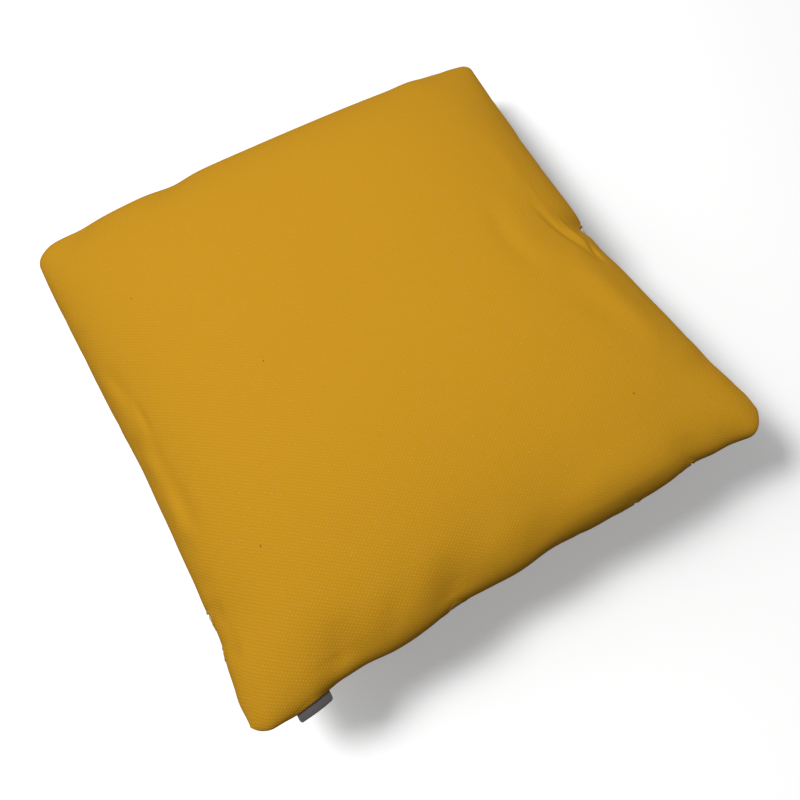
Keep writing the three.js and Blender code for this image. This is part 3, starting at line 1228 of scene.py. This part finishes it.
@dataclass(frozen=True)
class WovenWool:
    """A thick woollen weave of staggered dots, with the seam's stitches pulling at it.

    A scale is a number of bumps over a metre of cloth, a height is a share of the weave's relief, and a
    span is the two values between which one thing turns into another.

    Attributes:
        name: The material's name.
        yarn: Colour on top of the dots.
        second_yarn: Colour of the other twist of yarn among them.
        shaded_gap: Colour of the low places between the dots: the yarns there, darkened as painted shade.
        bright: Colour of the few light dots.
        lint: Places of dark specks on the flat cloth, with their lengths.
        column: Spacing of the columns of dots.
        row: Spacing of the rows of dots.
        relief: Height of the weave.
        wander: How far the threads stray from their lines.
        wander_scale: Scale of their straying.
        dot_height: Height of the dots.
        rib_height: Height of the ribs that the columns form.
        fibre_height: Height of the loose fibres.
        fibre_scales: Scales of the fibres along the weft and the warp.
        loft_height: Height of the cloth's slow swelling.
        loft_scale: Its scale.
        shaded_gap_span: Heights from the painted shade of the low places to a yarn's colour.
        twist_span: Chance numbers from the first yarn to the second.
        bright_span: Chance numbers from a plain dot to a light one.
        bright_strength: Strength of the light dots' colour.
        slub_span: Chance numbers from a flat dot to one that stands out.
        slub_height: How far such a dot stands out.
        streak_scales: Scales of the dark streaks along the weft and the warp.
        streak_span: Noise from no streak to a full one.
        streak_strength: Strength of the streaks.
        mottle_scale: Scale of the slow change of colour.
        mottle_span: Noise from none of it to all of it.
        mottle_strength: Its strength.
        lint_colour: Colour of the specks.
        lint_slimness: A speck's width as a share of its length.
        lint_strength: Strength of its colour.
        roughness: Roughness of the wool.
        glint: Level of its mirror-like part.
        sheen: Weight of the sheen of its fibres.
        sheen_roughness: Roughness of that sheen.
        stitch: Spacing of the seam's stitches.
        stitch_depth: Depth of the puckers that they pull, against the weave's height.
        stitch_reach: How far into the cloth they are felt.
    """

    name: str
    yarn: tuple[float, float, float]
    second_yarn: tuple[float, float, float]
    shaded_gap: tuple[float, float, float]
    bright: tuple[float, float, float]
    lint: tuple[tuple[float, float, float], ...] = ()
    column: float = 0.00191
    row: float = 0.00152
    relief: float = 0.00014
    wander: float = 0.0005
    wander_scale: float = 22.0
    dot_height: float = 0.5
    rib_height: float = 0.28
    fibre_height: float = 0.9
    fibre_scales: tuple[float, float] = (2600.0, 1500.0)
    loft_height: float = 1.2
    loft_scale: float = 60.0
    shaded_gap_span: tuple[float, float] = (-0.55, 0.5)
    twist_span: tuple[float, float] = (0.35, 0.65)
    bright_span: tuple[float, float] = (0.955, 0.985)
    bright_strength: float = 0.35
    slub_span: tuple[float, float] = (0.9, 1.0)
    slub_height: float = 0.3
    streak_scales: tuple[float, float] = (500.0, 26.0)
    streak_span: tuple[float, float] = (0.35, 0.75)
    streak_strength: float = 0.10
    mottle_scale: float = 14.0
    mottle_span: tuple[float, float] = (0.3, 0.7)
    mottle_strength: float = 0.10
    lint_colour: tuple[float, float, float] = (0.10, 0.055, 0.02)
    lint_slimness: float = 0.45
    lint_strength: float = 0.8
    roughness: float = 0.9
    glint: float = 0.06
    sheen: float = 0.12
    sheen_roughness: float = 0.5
    stitch: float = 0.0032
    stitch_depth: float = 0.9
    stitch_reach: float = 0.0028

    def build(self, seam_length: float) -> bpy.types.Material:
        """Makes the material.

        Args:
            seam_length: Once round the seam, which takes a whole number of stitches.

        Returns:
            The material.
        """
        material, bench = new_material(self.name)
        cloth = bench.place(CLOTH_MAP)
        stray = bench.noise(cloth, self.wander_scale, 1.0).outputs["Color"]
        stray = bench.vector("MULTIPLY_ADD", stray, (2 * self.wander,) * 3, (-self.wander,) * 3)
        threads = bench.vector("ADD", cloth, stray)
        across, up = bench.split(threads)
        weft = across * (math.pi / self.column)
        warp = up * (math.pi / self.row)
        dots = weft.cos() * warp.cos()
        ribs = (weft * 2.0).cos()
        combed = bench.vector("MULTIPLY", threads, (*self.fibre_scales, 1.0))
        fibres = bench.out(bench.noise(combed, 1.0, 3.0))
        height = dots * self.dot_height + ribs * self.rib_height + (fibres - 0.5) * self.fibre_height
        chance = self.dot_chance(bench, across, up)
        colour = self.colour(bench, cloth, height, chance)
        along, away = bench.split(bench.place(SEAM_MAP))
        stitches = round(seam_length / self.stitch)
        pull = (along * (2 * math.pi * stitches / seam_length)).cos() * away.abs().bell(self.stitch_reach)
        loft = bench.out(bench.noise(cloth, self.loft_scale, 2.0))
        slubs = chance.rise(*self.slub_span) * self.slub_height
        relief = height + slubs - pull * self.stitch_depth + loft * self.loft_height
        sockets = {
            "Base Color": colour,
            "Roughness": self.roughness,
            "Specular IOR Level": self.glint,
            "Sheen Weight": self.sheen,
            "Sheen Roughness": self.sheen_roughness,
            "Sheen Tint": (*self.bright, 1.0),
        }
        bench.surface(sockets, relief, self.relief)
        return material

    def dot_chance(self, bench: Bench, across: Shade, up: Shade) -> Shade:
        """Gives each dot of the weave a chance number of its own.

        Args:
            bench: The material's bench.
            across: Place along the weft.
            up: Place along the warp.

        Returns:
            The number, from 0 to 1.
        """
        column = (across / self.column + 0.5).floor()
        row = (up / self.row + 0.5).floor()
        dot = bench.pair(column, row)
        node = bench.node("ShaderNodeTexWhiteNoise", {"noise_dimensions": "2D"}, {"Vector": dot})
        return bench.out(node, "Value")

    def colour(
        self, bench: Bench, cloth: bpy.types.NodeSocket, height: Shade, chance: Shade
    ) -> bpy.types.NodeSocket:
        """Colour of the yarns, painted darker between the dots as shade in the weave's recesses.

        Args:
            bench: The material's bench.
            cloth: Place on the flat cloth.
            height: Height of the weave.
            chance: A number from 0 to 1 for each dot.

        Returns:
            The colour.
        """
        yarn = bench.blend(chance.rise(*self.twist_span), self.yarn, self.second_yarn)
        yarn = bench.blend(chance.rise(*self.bright_span) * self.bright_strength, yarn, self.bright)
        # Painted shade: the low places of the weave take the darker colour between the dots, which is the
        # yarns there darkened as shade.
        colour = bench.blend(height.rise(*self.shaded_gap_span), self.shaded_gap, yarn)
        stretched = bench.vector("MULTIPLY", cloth, (*self.streak_scales, 1.0))
        streaks = bench.out(bench.noise(stretched, 1.0, 2.0)).rise(*self.streak_span)
        # The streaks fall at random and take that painted-shade colour of the low places.
        colour = bench.blend(streaks * self.streak_strength, colour, self.shaded_gap)
        mottling = bench.out(bench.noise(cloth, self.mottle_scale, 3.0)).rise(*self.mottle_span)
        colour = bench.blend(mottling * self.mottle_strength, colour, self.second_yarn)
        for x, y, length in self.lint:
            apart = bench.vector("SUBTRACT", cloth, (x, y, 0.0))
            apart_x, apart_y = bench.split(bench.vector("MULTIPLY", apart, (1.0, self.lint_slimness, 0.0)))
            speck = (apart_x * apart_x + apart_y * apart_y).math("SQRT").rise(length / 2, length / 4)
            colour = bench.blend(speck * self.lint_strength, colour, self.lint_colour)
        return colour


@dataclass(frozen=True)
class WovenTape:
    """The label's fine plain-woven tape.

    Attributes:
        name: The material's name.
        thread: Colour of its threads.
        shaded_gap: Colour of the low places between the threads, darkened as painted shade.
        thread_width: Spacing of the threads.
        shaded_gap_span: Heights from the painted shade of the low places to a thread's colour.
        fuzz_scale: Bumps of the loose fibres over a metre.
        relief: Height of the weave.
        roughness: Its roughness.
        sheen: Weight of the sheen of its fibres.
    """

    name: str
    thread: tuple[float, float, float]
    shaded_gap: tuple[float, float, float]
    thread_width: float = 0.00032
    shaded_gap_span: tuple[float, float] = (-0.8, 0.8)
    fuzz_scale: float = 2500.0
    relief: float = 0.00005
    roughness: float = 0.7
    sheen: float = 0.2

    def build(self) -> bpy.types.Material:
        """Makes the material.

        Returns:
            The material.
        """
        material, bench = new_material(self.name)
        place = bench.place(CLOTH_MAP)
        across, along = bench.split(place)
        warp = (across * (math.pi / self.thread_width)).cos()
        weft = (along * (math.pi / self.thread_width)).cos()
        fuzz = bench.out(bench.noise(place, self.fuzz_scale, 2.0))
        height = warp * weft + (fuzz - 0.5)
        # Painted shade: the low places between the threads take the darker colour.
        colour = bench.blend(height.rise(*self.shaded_gap_span), self.shaded_gap, self.thread)
        sockets = {"Base Color": colour, "Roughness": self.roughness, "Sheen Weight": self.sheen}
        bench.surface(sockets, height, self.relief)
        return material


@dataclass(frozen=True)
class PaleFloor:
    """A plain pale table that is lit faintly from below, with the faintest unevenness.

    Attributes:
        name: The material's name.
        tone: Its lightness.
        clouding: Share of that lightness that its darker places have.
        cloud_scale: Such places over a metre.
        glow: How far it is lit from below.
        roughness: Its roughness.
        glint: Level of its mirror-like part.
        relief: Height of its unevenness.
    """

    name: str = "pale_floor"
    tone: float = 0.90
    clouding: float = 0.995
    cloud_scale: float = 3.0
    glow: float = 0.285
    roughness: float = 0.95
    glint: float = 0.1
    relief: float = 0.00001

    def build(self) -> bpy.types.Material:
        """Makes the material.

        Returns:
            The material.
        """
        material, bench = new_material(self.name)
        place = bench.node("ShaderNodeNewGeometry", {}, {}).outputs["Position"]
        cloudy = bench.out(bench.noise(place, self.cloud_scale, 1.0))
        colour = bench.blend(cloudy.rise(0.0, 1.0), (self.tone,) * 3, (self.tone * self.clouding,) * 3)
        sockets = {
            "Base Color": colour,
            "Roughness": self.roughness,
            "Specular IOR Level": self.glint,
            "Emission Color": (1.0, 1.0, 1.0, 1.0),
            "Emission Strength": self.glow,
        }
        bench.surface(sockets, cloudy, self.relief)
        return material


@dataclass(frozen=True)
class Softbox:
    """A square soft light that is aimed at the middle of the resting surface.

    Attributes:
        name: Its name.
        way: From the cushion towards it.
        distance: Its distance.
        size: Length of its sides.
        power: Its power.
    """

    name: str
    way: tuple[float, float, float]
    distance: float
    size: float
    power: float

    def hang(self, lit: list[bpy.types.Object]) -> bpy.types.Object:
        """Hangs the light.

        Args:
            lit: The only pieces that it lights.

        Returns:
            The light.
        """
        lamp = bpy.data.lights.new(self.name, "AREA")
        lamp.shape = "SQUARE"
        lamp.size = self.size
        lamp.energy = self.power
        light = bpy.data.objects.new(self.name, lamp)
        way = Vector(self.way).normalized()
        light.location = way * self.distance
        light.rotation_euler = way.to_track_quat("Z", "Y").to_euler()
        bpy.context.scene.collection.objects.link(light)
        receivers = bpy.data.collections.new(f"lit_by_{self.name}")
        for piece in lit:
            receivers.objects.link(piece)
        light.light_linking.receiver_collection = receivers
        return light


@dataclass
class Studio:
    """The floor, three soft lights, the even fill and the camera.

    Attributes:
        centring: From the frame in which the view was solved to the model's own, on X and Y.
        azimuth: The camera's turn about Z, in degrees.
        elevation: How far it looks down.
        roll: Its roll about the line of sight.
        distance: From its target.
        target: The point in the middle of the picture.
        focal: Focal length for the sensor's width.
        sensor: The sensor's width.
        floor_size: Length of the floor's sides.
        floor_drop: How far the floor lies under the resting surface.
        overhead: The light on the cushion.
        key: The light on the floor, which gives the cushion its shadow.
        halo: The wide faint light round it, which gives the shadow its long soft edge.
        fill: Strength of the even light from all round.
    """

    centring: tuple[float, float]
    azimuth: float = -28.0959
    elevation: float = 65.7884
    roll: float = -1.8233
    distance: float = 0.617785
    target: tuple[float, float, float] = (-0.0177090, -0.0652541, 0.052)
    focal: float = 32.28
    sensor: float = 36.0
    floor_size: float = 40.0
    floor_drop: float = 0.0002
    overhead: Softbox = Softbox("overhead", way=(-0.19, 0.14, 1.0), distance=2.6, size=1.2, power=72.0)
    key: Softbox = Softbox("key", way=(-0.533, 0.344, 0.773), distance=3.6, size=1.03, power=106.0)
    halo: Softbox = Softbox("halo", way=(-0.583, 0.569, 0.579), distance=3.6, size=2.8, power=53.0)
    fill: float = 0.12

    def add_floor(self) -> bpy.types.Object:
        """Lays the floor, which throws no light back on the cushion.

        Returns:
            The floor.
        """
        half = self.floor_size / 2
        corners = np.array([[-half, -half, 0], [half, -half, 0], [half, half, 0], [-half, half, 0]])
        floor = mesh_object("studio_floor", corners - [0, 0, self.floor_drop], np.array([[0, 1, 2, 3]]))
        floor.data.materials.append(PaleFloor().build())
        floor.visible_diffuse = False
        return floor

    def add_fill(self) -> None:
        """Sets the even light from all round."""
        world = bpy.data.worlds.new("soft_fill")
        world.use_nodes = True
        bench = Bench(world.node_tree)
        glow = bench.node("ShaderNodeBackground", {}, {"Color": (1.0, 1.0, 1.0, 1.0), "Strength": self.fill})
        bench.node("ShaderNodeOutputWorld", {}, {"Surface": glow.outputs["Background"]})
        bpy.context.scene.world = world

    def add_camera(self) -> bpy.types.Object:
        """Places the camera where the photograph was taken from.

        Returns:
            The camera.
        """
        azimuth, elevation, roll = (math.radians(a) for a in (self.azimuth, self.elevation, self.roll))
        level, down = math.cos(elevation), math.sin(elevation)
        ahead = Vector((-math.sin(azimuth) * level, math.cos(azimuth) * level, -down))
        right = Vector((math.cos(azimuth), math.sin(azimuth), 0.0))
        up = right.cross(ahead)
        rolled_right = math.cos(roll) * right + math.sin(roll) * up
        rolled_up = math.cos(roll) * up - math.sin(roll) * right
        place = Vector(self.target) + Vector((*self.centring, 0.0)) - ahead * self.distance
        turn = Matrix((rolled_right, rolled_up, -ahead)).transposed().to_4x4()
        lens = bpy.data.cameras.new("camera")
        lens.lens = self.focal
        lens.sensor_width = self.sensor
        lens.clip_start = 0.01
        camera = bpy.data.objects.new("camera", lens)
        camera.matrix_world = Matrix.Translation(place) @ turn
        bpy.context.scene.collection.objects.link(camera)
        bpy.context.scene.camera = camera
        return camera


MUSTARD_WOOL = WovenWool(
    name="mustard_wool",
    yarn=(0.545, 0.266, 0.022),
    second_yarn=(0.525, 0.268, 0.013),
    # Its colour between the dots is the yarn darkened as painted shade.
    shaded_gap=(0.485, 0.242, 0.008),
    bright=(0.640, 0.345, 0.048),
    lint=(
        (-0.1770, 0.1076, 0.0011),
        (-0.1056, -0.0111, 0.0011),
        (-0.1715, -0.1364, 0.0012),
        (0.1307, -0.1746, 0.0013),
    ),
)
ROSE_GREY_WOOL = WovenWool(
    name="rose_grey_wool",
    yarn=(0.58, 0.46, 0.39),
    second_yarn=(0.55, 0.42, 0.36),
    # Its colour between the dots is the yarn darkened as painted shade.
    shaded_gap=(0.42, 0.31, 0.26),
    bright=(0.70, 0.60, 0.52),
)
# The tape's colour between the threads is darkened as painted shade.
GREY_TAPE = WovenTape(name="grey_tape", thread=(0.105, 0.095, 0.100), shaded_gap=(0.045, 0.040, 0.042))

CENTRING = (0.0009311, 0.0035905)


def centre(piece: bpy.types.Object) -> None:
    """Moves a piece's mesh from the frame in which it was measured to the model's own."""
    piece.data.transform(Matrix.Translation((*CENTRING, 0.0)))


def main() -> None:
    """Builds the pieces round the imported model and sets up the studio."""
    logging.basicConfig(level=logging.INFO, format="%(name)s: %(message)s")
    bpy.context.scene.view_settings.view_transform = "Standard"
    form = CushionForm()

    cover = Cover(form)
    cushion = cover.sew("filled_cover")
    for wool in (MUSTARD_WOOL, ROSE_GREY_WOOL):
        cushion.data.materials.append(wool.build(cover.seam_length))
    centre(cushion)
    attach(cushion, BODY)
    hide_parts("cushion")
    LOG.info("filled cover: %d faces", len(cushion.data.polygons))

    tab = LabelTab(form)
    label = tab.fold("folded_label")
    label.data.materials.append(GREY_TAPE.build())
    centre(label)
    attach(label, BODY)
    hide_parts("label_tab")
    tab.cut_length
    LOG.info("folded label: %d faces, tape cut to %.1f mm", len(label.data.polygons), tab.cut_length * 1000)

    studio = Studio(CENTRING)
    studio.add_fill()
    floor = studio.add_floor()
    lights = (studio.overhead.hang([cushion, label]), studio.key.hang([floor]), studio.halo.hang([floor]))
    for piece in (floor, *lights, studio.add_camera()):
        LOG.info("studio: %s", piece.name)


if __name__ == "__main__":
    main()
